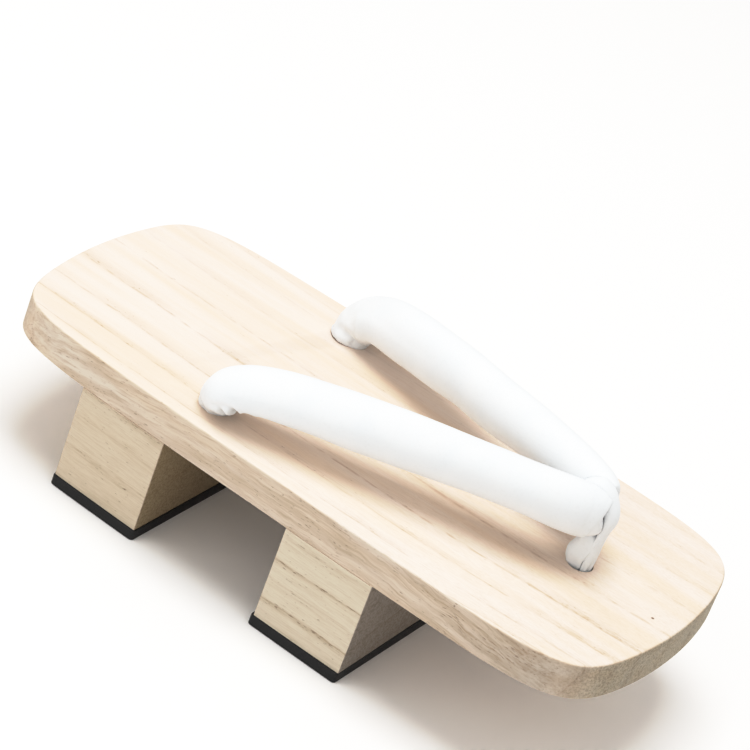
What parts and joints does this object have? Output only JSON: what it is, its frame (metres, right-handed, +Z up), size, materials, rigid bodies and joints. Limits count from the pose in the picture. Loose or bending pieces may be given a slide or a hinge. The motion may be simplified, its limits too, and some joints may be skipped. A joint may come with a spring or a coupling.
{
  "type": "geta sandal",
  "caption": "Flat wooden sandal board raised on wooden teeth with rubber treads, held on the foot by a padded V strap and a toe loop.",
  "frame": {"origin": "on the floor, below the middle of the board", "axes": "+Y towards the toe, +X towards the wearer's right, +Z up"},
  "size_m": [0.1124, 0.24, 0.0835],
  "materials": {
    "wood": "sanded, unvarnished",
    "rubber": "matte",
    "cloth": "soft matte"
  },
  "bodies": {
    "root": {"board": "wood", "rear_tooth": "wood", "front_tooth": "wood", "rear_tread": "rubber", "front_tread": "rubber", "strap": "cloth", "toe_loop": "cloth"}
  },
  "joints": []
}
